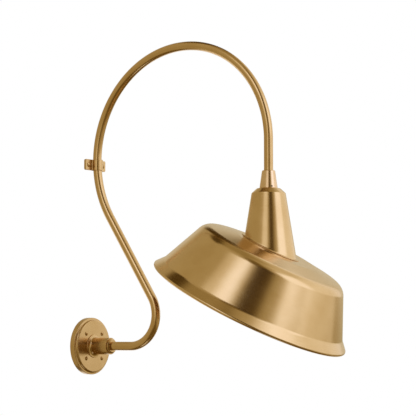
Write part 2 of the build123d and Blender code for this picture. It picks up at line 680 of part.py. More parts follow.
lamp_throat = lamp_cap_radius - lamp_cap_wall - running_gap
with BuildPart() as lamp_bulb:
    with BuildSketch(hang_plane):
        with BuildLine():
            throat = Line((lamp_throat, lamp_cap_bottom + lamp_cap_height / 2), (lamp_throat, lamp_cap_bottom))
            ball = ThreePointArc((lamp_bulb_radius, lamp_ball_centre),
                                 (lamp_bulb_radius * cos(radians(45)),
                                  lamp_ball_centre - lamp_bulb_radius * sin(radians(45))),
                                 (0, lamp_bottom))
            Spline(throat @ 1, ball @ 0, tangents=(throat % 1, ball % 0))
            Polyline(ball @ 1, (0, lamp_cap_bottom + lamp_cap_height / 2), throat @ 0)
        make_face()
    revolve(axis=hang_axis)
    offset(amount=-lamp_glass_wall, openings=lamp_bulb.faces().sort_by(Axis.Z)[-1])
lamp_bulb.part.label = "lamp_bulb"

# ---------------------------------------------------------------- one file for each piece
pieces = [
    canopy, canopy_screws, hub_base_ring, hub, hub_set_screw, hub_nose_ring, hub_lock_washer,
    hub_locknut, gooseneck_arm, clip_strap, clip_base, clip_stand_off, clip_wall_screw, clip_screws,
    neck_collar, collar_set_screw, head_nipple, nipple_washer, nipple_locknut, neck, shade,
    lampholder_cap, lampholder_cup, screw_shell, centre_contact, terminal_screws, lamp_contact,
    lamp_insulator, lamp_cap, lamp_bulb,
]
for piece in pieces:
    export_step(piece.part, f"parts/{piece.part.label}.step")
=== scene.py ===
import json
from math import cos, pi, radians, sin, sqrt, tan

import bpy
import numpy as np
from mathutils import Matrix, Vector


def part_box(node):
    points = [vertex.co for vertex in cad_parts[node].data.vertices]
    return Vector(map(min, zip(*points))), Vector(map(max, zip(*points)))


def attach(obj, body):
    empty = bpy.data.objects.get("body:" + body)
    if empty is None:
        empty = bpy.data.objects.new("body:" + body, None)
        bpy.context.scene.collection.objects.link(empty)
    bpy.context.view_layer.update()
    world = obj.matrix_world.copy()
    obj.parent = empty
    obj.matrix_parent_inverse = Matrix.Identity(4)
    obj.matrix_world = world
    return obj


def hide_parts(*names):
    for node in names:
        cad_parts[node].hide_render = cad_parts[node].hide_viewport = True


# Gooseneck wall sconce in satin brushed brass. Metres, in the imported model's frame: the wall is
# the plane Y = 0, the arm reaches out along -Y in the plane X = 0, and +Z is up.

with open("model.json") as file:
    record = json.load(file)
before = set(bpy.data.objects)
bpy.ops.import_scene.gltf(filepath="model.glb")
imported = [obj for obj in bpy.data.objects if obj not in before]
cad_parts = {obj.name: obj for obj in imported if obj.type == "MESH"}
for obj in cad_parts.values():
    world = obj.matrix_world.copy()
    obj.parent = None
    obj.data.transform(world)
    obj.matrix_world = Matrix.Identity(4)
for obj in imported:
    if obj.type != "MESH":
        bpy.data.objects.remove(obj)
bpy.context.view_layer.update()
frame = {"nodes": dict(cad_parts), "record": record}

# ---------------------------------------------------------------- sizes
mm = 0.001

running_gap = 0.05 * mm         # clearance round the tube, and of a flush screw's end
break_edge = 0.2 * mm           # rounding of a plain turned edge

canopy_radius = 62.8 * mm
canopy_step = 5.6 * mm          # how far the face stands in from the side
canopy_side = 12.3 * mm         # depth of the side, from the wall to the step
canopy_cove = 3.0 * mm
canopy_edge = 1.6 * mm          # rounding of the face's rim
side_edge = 1.2 * mm            # rounding of the step's outer corner
canopy_wall = 3.0 * mm
screw_circle = 77.0 * mm
screw_head_radius = 4.5 * mm
screw_head_dome = 2.3 * mm
screw_head_rim = 0.3 * mm       # how far the head's edge stands off the face
cross_reach = 1.7 * mm          # half the cross recess's span
cross_blade = 0.35 * mm
cross_depth = 0.5 * mm
screw_core = 0.02               # a head's pinhole over its radius, which the grid wraps through

hub_base_radius = 25.6 * mm
hub_base_lip = 1.8 * mm         # thickness of the base ring's lip, in front of which it is coved
hub_base_edge = 0.8 * mm
spigot_radius = 10.0 * mm       # threaded tail of the hub, behind the canopy's face
lead_bore = 7.0 * mm
hub_edge = 0.5 * mm
nose_chamfer = 2.4 * mm
nose_edge = 0.4 * mm

tube_wall = 1.6 * mm
tube_off_wall = 13.9 * mm       # clear gap between the wall and the back of the bow
lower_bend_radius = 68.0 * mm
lower_bend_angle = radians(123)
slant_length = 213.0 * mm
bow_radius = 236.0 * mm
bow_angle = radians(133)
crook_radius = 218.5 * mm
drop_length = 88.5 * mm

collar_socket = 24.0 * mm
collar_top_radius = 13.8 * mm
collar_top_edge = 1.4 * mm
collar_edge = 0.6 * mm
collar_pocket_radius = 12.3 * mm    # pocket under it for the nipple's flange
collar_pocket = 1.3 * mm
collar_nipple_bore = 8.05 * mm
collar_screw_turn = radians(-125.3)
collar_screw_level = 3.6 * mm

grub_radius = 2.0 * mm
grub_socket = 0.9 * mm
grub_length = 5.0 * mm
grub_edge = 0.1 * mm
grub_core = 0.1 * grub_radius   # pinhole along the axis, which the grid wraps through
grub_across = (1, 0, 0.2)       # a direction that no set screw points along
hub_screw_place = 14.0 * mm     # from the hub's front end back to its set screw

clip_drop = 9.2 * mm            # clip's middle below the bow's centre
clip_half_width = 34.2 * mm
clip_half_height = 12.0 * mm
clip_corner = 3.0 * mm
strap_thickness = 2.8 * mm
strap_bend = 3.0 * mm
strap_edge = 0.4 * mm
clip_base_thickness = 2.8 * mm
clip_base_web = 0.6 * mm        # metal of the base that is left behind the tube
clip_screw_place = 24.5 * mm
clip_head_radius = 5.5 * mm
clip_head_dome = 2.2 * mm
clip_head_rim = 0.5 * mm
stand_off_radius = 7.5 * mm
stand_off_hole = 2.2 * mm
stand_off_edge = 0.3 * mm

neck_wall = 1.4 * mm
neck_top_radius = 24.5 * mm
neck_shoulder_radius = 35.6 * mm
neck_shoulder_drop = 10.0 * mm
neck_shoulder_edge = 3.0 * mm
neck_base_radius = 53.4 * mm
neck_length = 120.4 * mm
neck_flange_width = 5.5 * mm
neck_flange = 1.4 * mm
neck_foot_fillet = 1.8 * mm
neck_cone_top = 26.0 * mm       # height of the cone's level rows, over those that lead to the cut
nipple_radius = 8.0 * mm

shade_tilt = radians(27.5)
shade_swivel = radians(11.2)
shade_offset = 19.7 * mm
shade_wall = 1.2 * mm
shade_flat_radius = 88.0 * mm
shade_shoulder_radius = 158.5 * mm
shade_shoulder_drop = 11.5 * mm
shade_shoulder_bend = 29.0 * mm
shade_skirt_height = 100.3 * mm
shade_skirt_spread = 45.4 * mm
shade_flare_height = 16.0 * mm
shade_flare_spread = 14.0 * mm
shade_flare_bend = 20.0 * mm
bead_radius = 4.2 * mm
bead_wrap = radians(265)
shade_hole_radius = 42.0 * mm

# ---------------------------------------------------------------- mesh density
shade_columns = 320
neck_columns = 240
canopy_columns = 192
turned_columns = 128
screw_columns = 72
screw_rows = 22
tube_columns = 64
tube_step = 2.5 * mm
stand_off_columns = 48
grub_columns = 32
cove_rows = 12
strap_step = 0.5 * mm
clip_base_rows = 60
clip_web_rows = 8
neck_bend_rows = 12
neck_wall_rows = 28
neck_fillet_rows = 8
neck_lip_rows = 9
neck_inside_rows = 14
shade_bend_rows = 24
shade_step = 4.0 * mm
bead_rows = 40
turned_step = 3.0 * mm          # longest facet along a small turned piece
sharp_turn = radians(38)        # faces that meet at more than this show a hard edge
most_held = 0.3                 # share of a short leg that the hold at an arc may take

# ---------------------------------------------------------------- mesh helpers


def rounded_line(corners, radii, arc_steps=9, hold=0.25 * mm, run_step=6 * mm):
    """Points (n, 2) along a polyline with arcs at its inner corners. An arc of radius r touches
    both legs at r * tan(turn / 2) from its corner. Legs are filled evenly, with a point a short
    hold from each arc, so that flats shade flat."""
    corners = [np.array(c, float) for c in corners]
    stops = [corners[0]]
    arcs = []
    for before, corner, after, radius in zip(corners, corners[1:], corners[2:], radii):
        into = (corner - before) / np.linalg.norm(corner - before)
        out = (after - corner) / np.linalg.norm(after - corner)
        side = np.sign(into[0] * out[1] - into[1] * out[0])
        turn = np.arccos(np.clip(into @ out, -1, 1))
        left = np.array([-into[1], into[0]]) * side
        start = corner - into * radius * tan(turn / 2)
        centre = start + left * radius
        a = np.linspace(0, turn, arc_steps)[:, None]
        arc = centre - left * radius * np.cos(a) + into * radius * np.sin(a)
        stops += [arc[0], arc[-1]]
        arcs.append(arc)
    stops.append(corners[-1])
    line = []
    for leg in range(len(arcs) + 1):
        a, b = stops[2 * leg], stops[2 * leg + 1]
        length = np.linalg.norm(b - a)
        inner = np.linspace(0, 1, max(2, int(length / run_step) + 2))
        held = min(hold, most_held * length) / length if length else most_held
        share = np.unique(np.concatenate([[0, held], inner[1:-1], [1 - held, 1]]))
        line.append(a + (b - a) * share[:, None])
        if leg < len(arcs):
            line.append(arcs[leg][1:-1])
    return np.vstack(line)


def offset_inward(line, wall, side):
    """The line moved by wall along its normal, which is its tangent turned by a quarter."""
    tangent = np.gradient(line, axis=0)
    tangent /= np.linalg.norm(tangent, axis=1)[:, None]
    return line + side * wall * np.stack([-tangent[:, 1], tangent[:, 0]], 1)


def grid_piece(name, grids, body, material, stands_for, u_size=None, capped=False):
    """A closed mesh from each grid of points (rows, columns, 3), which wraps round both ways, or
    only round its columns where its end rows are capped. Its UV map holds metres: along the rows,
    and round the columns at the mean girth, or at u_size. Faces point outwards: the signed volume
    by the divergence theorem says whether to reverse them."""
    flats, all_faces, all_uv, count = [], [], [], 0
    for points in grids:
        rows, cols = points.shape[:2]
        index = np.arange(rows * cols).reshape(rows, cols)
        down, right = np.roll(index, -1, 0), np.roll(index, -1, 1)
        faces = np.stack([index, right, np.roll(down, -1, 1), down], -1)
        faces = faces[:rows - capped].reshape(-1, 4)
        flat = points.reshape(-1, 3)
        quad = flat[faces] - flat.mean(0)
        volume = (np.einsum("ij,ij->i", quad[:, 0], np.cross(quad[:, 1], quad[:, 2]))
                  + np.einsum("ij,ij->i", quad[:, 0], np.cross(quad[:, 2], quad[:, 3]))).sum()
        order = [0, 1, 2, 3] if volume > 0 else [3, 2, 1, 0]
        steps = np.linalg.norm(np.diff(points, axis=0), axis=2).mean(1)
        along = np.concatenate([[0], steps.cumsum()])
        along = np.append(along, along[-1])
        girth = u_size or np.linalg.norm(np.roll(points, -1, 1) - points, axis=2).sum(1).mean()
        r, c = np.divmod(np.arange((rows - capped) * cols), cols)
        corner_row = np.stack([r, r, r + 1, r + 1], 1)
        corner_col = np.stack([c, c + 1, c + 1, c], 1)
        uv = np.stack([girth * corner_col / cols, along[corner_row]], -1)
        flats.append(flat)
        all_faces.append(faces[:, order] + count)
        all_uv.append(uv[:, order])
        count += len(flat)
    flat, faces, uv = np.vstack(flats), np.vstack(all_faces), np.vstack(all_uv)
    mesh = bpy.data.meshes.new(name)
    mesh.vertices.add(len(flat))
    mesh.vertices.foreach_set("co", flat.ravel())
    mesh.loops.add(faces.size)
    mesh.loops.foreach_set("vertex_index", faces.ravel())
    mesh.polygons.add(len(faces))
    mesh.polygons.foreach_set("loop_start", np.arange(0, faces.size, 4))
    mesh.polygons.foreach_set("loop_total", np.full(len(faces), 4))
    mesh.uv_layers.new(name="surface").data.foreach_set("uv", uv.ravel())
    mesh.update(calc_edges=True)
    mesh.validate()
    mesh.shade_smooth()
    mesh.set_sharp_from_angle(angle=sharp_turn)
    piece = bpy.data.objects.new(name, mesh)
    bpy.context.scene.collection.objects.link(piece)
    mesh.materials.append(material)
    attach(piece, body)
    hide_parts(*stands_for)


def turned(profile, origin, axis, across, columns=turned_columns):
    """A surface of revolution: each profile point (radius, height) goes to
    origin + height * axis + radius * (across * cos(angle) + side * sin(angle))."""
    axis, across = np.array(axis, float), np.array(across, float)
    side = np.cross(axis, across)
    angle = np.linspace(0, 2 * pi, columns, endpoint=False)
    ring = np.cos(angle)[:, None] * across + np.sin(angle)[:, None] * side
    return (np.array(origin, float) + profile[:, 1, None, None] * axis
            + profile[:, 0, None, None] * ring)


def node_size(node):
    """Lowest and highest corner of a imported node, as arrays."""
    low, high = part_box(node)
    return np.array(low), np.array(high)


# ---------------------------------------------------------------- material helpers
stroke_stretch = 60             # a brushed stroke's length over its width
stroke_span = (0.3, 0.7)        # the noise between these goes from glossy to dull
stroke_gloss = 0.04             # how far the strokes move the roughness either way
stroke_strength = 0.35
tarnish_cloud = 45 * mm
tarnish_span = (0.12, 0.36)
grain_span = (0.35, 0.65)
grain_gloss = 0.05
grain_strength = 0.3
grain_depth = 0.01 * mm
glossiest = 0.02


def linear(code):
    """An sRGB hex colour as linear RGBA."""
    value = np.array([int(code[i:i + 2], 16) for i in (1, 3, 5)]) / 255
    value = np.where(value <= 0.04045, value / 12.92, ((value + 0.055) / 1.055) ** 2.4)
    return (*value.tolist(), 1.0)


def add_node(tree, kind, links=(), **settings):
    """A node of that kind: links maps an input to a socket, and settings sets the inputs by name,
    or the node's own properties where it has one of that name."""
    node = tree.nodes.new(kind)
    for name, value in settings.items():
        if hasattr(node, name):
            setattr(node, name, value)
        else:
            node.inputs[name.replace("_", " ")].default_value = value
    for name, socket in dict(links).items():
        tree.links.new(socket, node.inputs[name])
    return node


def calculate(tree, operation, *terms):
    """A math node's result. Each term is another node's output or a plain number."""
    links = {i: term for i, term in enumerate(terms) if isinstance(term, bpy.types.NodeSocket)}
    node = add_node(tree, "ShaderNodeMath", links, operation=operation)
    for i, term in enumerate(terms):
        if i not in links:
            node.inputs[i].default_value = term
    return node.outputs[0]


def new_material(name):
    """A node material and its Principled shader."""
    material = bpy.data.materials.new(name)
    material.use_nodes = True
    return material, material.node_tree, material.node_tree.nodes["Principled BSDF"]


def link_finish(tree, shader, tint, tint_span, colours, relief, relief_span, gloss, strength,
                depth):
    """Colour goes over the tint's span, roughness over the relief's span, and the relief is also
    the bump."""
    colour = add_node(tree, "ShaderNodeValToRGB", {"Fac": tint})
    for end, position, code in zip(colour.color_ramp.elements, tint_span, colours):
        end.position = position
        end.color = linear(code)
    rough = add_node(tree, "ShaderNodeMapRange", {"Value": relief}, From_Min=relief_span[0],
                     From_Max=relief_span[1], To_Min=gloss[0], To_Max=gloss[1])
    bump = add_node(tree, "ShaderNodeBump", {"Height": relief}, Strength=strength, Distance=depth)
    tree.links.new(colour.outputs["Color"], shader.inputs["Base Color"])
    tree.links.new(rough.outputs["Result"], shader.inputs["Roughness"])
    tree.links.new(bump.outputs["Normal"], shader.inputs["Normal"])


def brushed_brass(name, light, dark, roughness, depth, stroke=0.5 * mm):
    """Natural brass, brushed along the turning or drawing direction and lacquered satin. The eye
    sees fine strokes in one direction, slight tarnish clouds and blurred reflections."""
    material, tree, shader = new_material(name)
    surface = add_node(tree, "ShaderNodeUVMap", uv_map="surface")
    stretched = add_node(tree, "ShaderNodeMapping", {"Vector": surface.outputs["UV"]},
                         Scale=(1 / (stroke_stretch * stroke), 1 / stroke, 1))
    strokes = add_node(tree, "ShaderNodeTexNoise", {"Vector": stretched.outputs["Vector"]},
                       Scale=1.0, Detail=3.0, Roughness=0.6)
    place = add_node(tree, "ShaderNodeTexCoord")
    clouds = add_node(tree, "ShaderNodeTexNoise", {"Vector": place.outputs["Object"]},
                      Scale=1 / tarnish_cloud, Detail=3.0, Roughness=0.55)
    tarnish = calculate(tree, "MULTIPLY", strokes.outputs["Fac"], clouds.outputs["Fac"])
    link_finish(tree, shader, tarnish, tarnish_span, (dark, light), strokes.outputs["Fac"],
                stroke_span, (roughness - stroke_gloss, roughness + stroke_gloss),
                stroke_strength, depth)
    shader.inputs["Metallic"].default_value = 1.0
    return material


def plain_finish(name, light, dark, roughness, metallic=0.0, grain=2.0 * mm, **sockets):
    """A finish whose colour wanders slightly between two shades, with a fine grain in its gloss."""
    material, tree, shader = new_material(name)
    place = add_node(tree, "ShaderNodeTexCoord")
    noise = add_node(tree, "ShaderNodeTexNoise", {"Vector": place.outputs["Object"]},
                     Scale=1 / grain, Detail=4.0, Roughness=0.6)
    gloss = (max(roughness - grain_gloss, glossiest), roughness + grain_gloss)
    link_finish(tree, shader, noise.outputs["Fac"], grain_span, (dark, light),
                noise.outputs["Fac"], (0, 1), gloss, grain_strength, grain_depth)
    shader.inputs["Metallic"].default_value = metallic
    for socket, value in sockets.items():
        shader.inputs[socket.replace("_", " ")].default_value = value
    return material


spun_brass = brushed_brass("satin_spun_brass", "#E2C190", "#D9B682", 0.20, 0.008 * mm)
drawn_brass = brushed_brass("satin_drawn_brass_tube", "#DFBC88", "#D6B17B", 0.22, 0.006 * mm)
cast_brass = brushed_brass("satin_cast_brass", "#DEBC8A", "#CFAB75", 0.26, 0.010 * mm,
                           stroke=0.6 * mm)
turned_brass = brushed_brass("fine_turned_brass", "#F0CFA8", "#E6C296", 0.20, 0.008 * mm,
                             stroke=0.4 * mm)
screw_brass = plain_finish("satin_brass_screw", "#D6B27C", "#C49E66", 0.22, 1.0)
zinc_steel = plain_finish("zinc_plated_steel", "#C8CACC", "#B0B3B6", 0.35, 1.0)
black_steel = plain_finish("black_oxide_steel", "#1E1C1A", "#141312", 0.4, 1.0)
ceramic = plain_finish("white_glazed_ceramic", "#F1EFE8", "#E6E3DA", 0.12, Coat_Weight=0.6)
nickel = plain_finish("bright_nickel_plate", "#D2CEC4", "#C2BEB4", 0.18, 1.0)
bright_brass = plain_finish("bright_brass_contact", "#DDBB70", "#CBA85C", 0.2, 1.0)
solder = plain_finish("dull_tin_solder", "#B4B6B8", "#9C9EA0", 0.45, 1.0)
vitrite = plain_finish("black_glass_vitrite", "#15161A", "#0D0E11", 0.12)
opal = plain_finish("opal_white_glass", "#F6F5F0", "#EFEEE8", 0.18, grain=20 * mm,
                    Subsurface_Weight=0.35, Subsurface_Radius=(0.01, 0.01, 0.01),
                    Subsurface_Scale=0.6)

finishes = {
    "satin_brass": cast_brass, "collar_brass": turned_brass, "screw_brass": screw_brass,
    "zinc_steel": zinc_steel, "black_steel": black_steel, "lampholder_ceramic": ceramic,
    "nickel_shell": nickel, "contact_brass": bright_brass, "solder": solder,
    "lamp_insulator": vitrite, "opal_glass": opal,
}
slot_of = {part["node"]: part["material_slot"] for part in frame["record"]["subparts"]}
for name, node in frame["nodes"].items():
    node.data.materials.clear()
    node.data.materials.append(finishes[slot_of[name]])

# ---------------------------------------------------------------- canopy and hub
up = (0, 0, 1)
out = (0, -1, 0)
down = (0, 0, -1.0)
wall_centre = (0, 0, 0)
canopy_depth = -node_size("canopy")[0][1]
face_radius = canopy_radius - canopy_step
tube_radius = node_size("gooseneck_arm")[1][0]
tube_start = -node_size("gooseneck_arm")[1][1]


def make_canopy():
    """Profile (radius, distance from the wall) of a cup with a coved step round its face."""
    inner_radius, inner_face = face_radius - canopy_wall, canopy_depth - canopy_wall
    corners = [(spigot_radius, canopy_depth), (face_radius, canopy_depth),
               (face_radius, canopy_side), (canopy_radius, canopy_side), (canopy_radius, 0),
               (inner_radius, 0), (inner_radius, inner_face), (spigot_radius, inner_face)]
    radii = [canopy_edge, canopy_cove, side_edge, break_edge, break_edge, break_edge]
    return turned(rounded_line(corners, radii), wall_centre, out, up, canopy_columns)


def make_screw(x, z, face, head_radius, dome, rim):
    """A screw head with a cross recess: its height over the face, at distance face from the wall,
    is rim + dome * (1 - (r / radius)**2), less the cross's depth where the point lies inside a
    blade."""
    radius = np.concatenate([np.linspace(screw_core, 1, screw_rows), [1, screw_core]]) * head_radius
    a = np.linspace(0, 2 * pi, screw_columns, endpoint=False)
    across, along = radius[:, None] * np.cos(a), radius[:, None] * np.sin(a)
    height = face + rim + dome * (1 - (np.hypot(across, along) / head_radius) ** 2)
    in_cross = ((np.abs(across) < cross_reach) & (np.abs(along) < cross_blade)
                | (np.abs(along) < cross_reach) & (np.abs(across) < cross_blade))
    height[:screw_rows] -= cross_depth * in_cross[:screw_rows]
    height[screw_rows:] = face - rim
    return np.stack([x + across, -height, z + along], -1)


def make_grub(place, normal):
    """A socket set screw along the surface's normal, its end flush with the surface at place."""
    corners = [(grub_socket, -grub_socket), (grub_socket, 0), (grub_radius, 0),
               (grub_radius, -grub_length), (grub_core, -grub_length), (grub_core, -grub_socket)]
    across = np.cross(normal, grub_across)
    across /= np.linalg.norm(across)
    lifted = np.array(place) + running_gap * np.array(normal)
    profile = rounded_line(corners, [grub_edge] * 4, arc_steps=3, hold=grub_edge / 2)
    return turned(profile, lifted, normal, across, grub_columns)


def make_base_ring():
    """A ring with a rounded lip, coved in front of it down to the hub. The cove is a quarter
    ellipse: (reach * sine, rise * (1 - cosine)) from the lip's end."""
    low, high = node_size("hub_base_ring")
    back, front = -high[1], -low[1]
    hub_skin = node_size("hub")[1][0]
    lip_front = back + hub_base_lip
    lip = rounded_line([(spigot_radius, back), (hub_base_radius, back),
                        (hub_base_radius, lip_front),
                        (hub_base_radius - 2 * hub_base_edge, lip_front)],
                       [hub_base_edge, hub_base_edge], run_step=turned_step)
    a = np.linspace(0, pi / 2, cove_rows)[:, None]
    start, reach, rise = lip[-1], lip[-1][0] - hub_skin, front - lip[-1][1]
    cove = start + np.hstack([-reach * np.sin(a), rise * (1 - np.cos(a))])
    profile = np.vstack([lip, cove[1:], [(spigot_radius, front)]])
    return turned(profile, wall_centre, out, up)


def make_hub():
    """The hub's front body, with its spigot and lead bore behind it."""
    low, high = node_size("hub")
    radius, back, front = high[0], -high[1], -low[1]
    shoulder = -node_size("hub_base_ring")[0][1]
    corners = [(tube_radius, front), (radius, front), (radius, shoulder),
               (spigot_radius, shoulder), (spigot_radius, back), (lead_bore, back),
               (lead_bore, tube_start), (tube_radius, tube_start)]
    radii = [hub_edge] + [break_edge] * 5
    return turned(rounded_line(corners, radii, run_step=turned_step), wall_centre, out, up)


def make_nose():
    """The chamfered ring round the tube, at the hub's front end."""
    low, high = node_size("hub_nose_ring")
    radius, back, front = high[0], -high[1], -low[1]
    corners = [(tube_radius, front), (radius - nose_chamfer, front),
               (radius, front - nose_chamfer), (radius, back), (tube_radius, back)]
    radii = [nose_edge, nose_edge, break_edge]
    return turned(rounded_line(corners, radii, run_step=turned_step), wall_centre, out, up)


# ---------------------------------------------------------------- tube
stub_reach = (tube_off_wall + tube_radius + bow_radius - slant_length * cos(lower_bend_angle)
              - (lower_bend_radius + bow_radius) * sin(lower_bend_angle))


def tube_line():
    """Centre points and headings of the tube in the plane X = 0: straights, and arcs whose points
    are centre + radius * (sine, cosine) of the heading. Heading 0 is out from the wall, and a
    quarter turn is up."""
    crook_angle = lower_bend_angle + pi / 2 - bow_angle
    moves = [(stub_reach - tube_start, 0, 0), (0, lower_bend_radius, lower_bend_angle),
             (slant_length, 0, 0), (0, bow_radius, -bow_angle), (0, crook_radius, -crook_angle),
             (drop_length, 0, 0)]
    place, heading = np.array([tube_start, 0.0]), 0.0
    points, headings = [], []
    for length, radius, turn in moves:
        run = length if length else radius * abs(turn)
        share = np.linspace(0, 1, int(run / tube_step) + 2)
        if length:
            h = np.full(len(share), heading)
            p = place + length * share[:, None] * np.array([cos(heading), sin(heading)])
        else:
            h = heading + turn * share
            bend = radius * np.sign(turn)
            centre = place + bend * np.array([-sin(heading), cos(heading)])
            p = centre - bend * np.stack([-np.sin(h), np.cos(h)], 1)
        points.append(p[:-1])
        headings.append(h[:-1])
        place, heading = p[-1], h[-1]
    points.append(place[None])
    headings.append(np.array([heading]))
    return np.vstack(points), np.concatenate(headings)


def make_tube():
    """Rings round the tube's line: centre + radius * (X * cos(a) + normal * sin(a)). The outer
    rings run down the line and the inner ones back."""
    centre, heading = tube_line()
    still = np.zeros(len(centre))
    across = np.stack([still, np.sin(heading), np.cos(heading)], 1)
    middle = np.stack([still, -centre[:, 0], centre[:, 1]], 1)
    a = np.linspace(0, 2 * pi, tube_columns, endpoint=False)
    ring = (np.cos(a)[None, :, None] * np.array([1.0, 0, 0])
            + np.sin(a)[None, :, None] * across[:, None])
    outer = middle[:, None] + tube_radius * ring
    inner = middle[:, None] + (tube_radius - tube_wall) * ring
    return np.concatenate([outer, inner[::-1]])


# ---------------------------------------------------------------- collar
collar_low, collar_high = node_size("neck_collar")
hang_y = (collar_low[1] + collar_high[1]) / 2
collar_base_radius = collar_high[0]
tube_end = collar_high[2] - collar_socket


def make_collar():
    """Profile (radius, height) of a tapered socket with a flat chamfered lip."""
    top, base = collar_high[2], collar_low[2]
    bore = tube_radius + running_gap
    floor = base + collar_pocket
    corners = [(bore, top), (collar_top_radius - collar_top_edge, top),
               (collar_top_radius, top - collar_top_edge), (collar_base_radius, base),
               (collar_pocket_radius, base), (collar_pocket_radius, floor),
               (collar_nipple_bore, floor), (collar_nipple_bore, tube_end), (bore, tube_end)]
    radii = [collar_edge] * 3 + [break_edge] * 4
    profile = rounded_line(corners, radii, run_step=turned_step)
    return turned(profile, (0, hang_y, 0), up, (1, 0, 0))


def collar_grub():
    """The collar's set screw: level over its base, on the cone, whose radius falls by taper with
    height."""
    cone_height = collar_high[2] - collar_low[2] - collar_top_edge
    taper = (collar_base_radius - collar_top_radius) / cone_height
    radius = collar_base_radius - taper * collar_screw_level
    ring = np.array([cos(collar_screw_turn), sin(collar_screw_turn), 0])
    normal = ring + taper * np.array([0, 0, 1.0])
    place = np.array([0, hang_y, collar_low[2] + collar_screw_level]) + radius * ring
    return make_grub(place, normal / np.linalg.norm(normal))


# ---------------------------------------------------------------- clip
clip_low, clip_high = node_size("clip_strap")
clip_level = (clip_low[2] + clip_high[2]) / 2
clip_tube_y = -(tube_off_wall + tube_radius + bow_radius - sqrt(bow_radius ** 2 - clip_drop ** 2))
base_back = clip_tube_y + tube_radius + running_gap + clip_base_web
ear_back = base_back - clip_base_thickness
ear_front = ear_back - strap_thickness


def make_bar(path, thickness, round_first=True, round_last=True):
    """A flat bar along a path of (x, y) points: a chamfered ring, thickness by height, at each
    point. Towards a rounded end its half height shrinks as
    corner - sqrt(corner**2 - (corner - distance)**2)."""
    tangent = np.gradient(path, axis=0)
    tangent /= np.linalg.norm(tangent, axis=1)[:, None]
    normal = np.stack([-tangent[:, 1], tangent[:, 0]], 1)
    run = np.concatenate([[0], np.linalg.norm(np.diff(path, axis=0), axis=1).cumsum()])
    half = np.full(len(path), clip_half_height)
    for distance, wanted in ((run, round_first), (run[-1] - run, round_last)):
        near = np.clip(clip_corner - distance, 0, clip_corner) * wanted
        half -= clip_corner - np.sqrt(clip_corner ** 2 - near ** 2)
    t, e = thickness / 2, min(strap_edge, thickness / 4)
    through = np.array([t, t - e, e - t, -t, -t, e - t, t - e, t])
    tall = np.array([1, 1, 1, 1, -1, -1, -1, -1])
    inset = e * np.array([1, 0, 0, 1, 1, 0, 0, 1])
    flat = path[:, None] + normal[:, None] * through[None, :, None]
    height = clip_level + tall * (half[:, None] - inset)
    rings = np.concatenate([flat, height[..., None]], -1)
    caps = rings[[0, -1]].mean(1, keepdims=True).repeat(len(tall), 1)
    return np.concatenate([caps[:1], rings, caps[1:]])


def make_strap():
    """The strap's middle line: ear, bend, half loop round the tube, bend, ear."""
    middle = (ear_front + ear_back) / 2
    loop = tube_radius + running_gap + strap_thickness / 2
    corners = [(-clip_half_width, middle), (-loop, middle), (-loop, clip_tube_y - loop),
               (loop, clip_tube_y - loop), (loop, middle), (clip_half_width, middle)]
    radii = [strap_bend, loop, loop, strap_bend]
    return make_bar(rounded_line(corners, radii, run_step=strap_step), strap_thickness)


def make_clip_base():
    """Two halves beside the tube's channel and the thin web behind it."""
    channel = tube_radius + running_gap
    middle, web = (ear_back + base_back) / 2, base_back - clip_base_web / 2
    half = np.linspace((channel, middle), (clip_half_width, middle), clip_base_rows)
    behind = np.linspace((-channel, web), (channel, web), clip_web_rows)
    return [make_bar(half, clip_base_thickness, round_first=False),
            make_bar(half[::-1] * (-1, 1), clip_base_thickness, round_last=False),
            make_bar(behind, clip_base_web, False, False)]


# ---------------------------------------------------------------- neck
neck_top = node_size("neck")[1][2]
head_out = np.array([sin(shade_swivel), -cos(shade_swivel), 0])
shade_up = np.array([0, 0, cos(shade_tilt)]) + head_out * sin(shade_tilt)
down_slope = head_out * cos(shade_tilt) - np.array([0, 0, sin(shade_tilt)])
seat = np.array([0, hang_y, neck_top - neck_length])
neck_flare = (neck_base_radius - neck_shoulder_radius) / (neck_length - neck_shoulder_drop)


def cone_cut(radius, height, ring, lift):
    """Where lines down a cone meet the plane that lies lift above the shade's top. A cone point is
    (ring * (radius + neck_flare * drop), height - drop), and the drop that lands on the plane is
    linear in the plane's equation. ring is (columns, 3)."""
    start = np.array([0, hang_y, height]) + radius * ring
    step = neck_flare * ring - np.array([0, 0, 1.0])
    drop = (lift - (start - seat) @ shade_up) / (step @ shade_up)
    return start + drop[:, None] * step


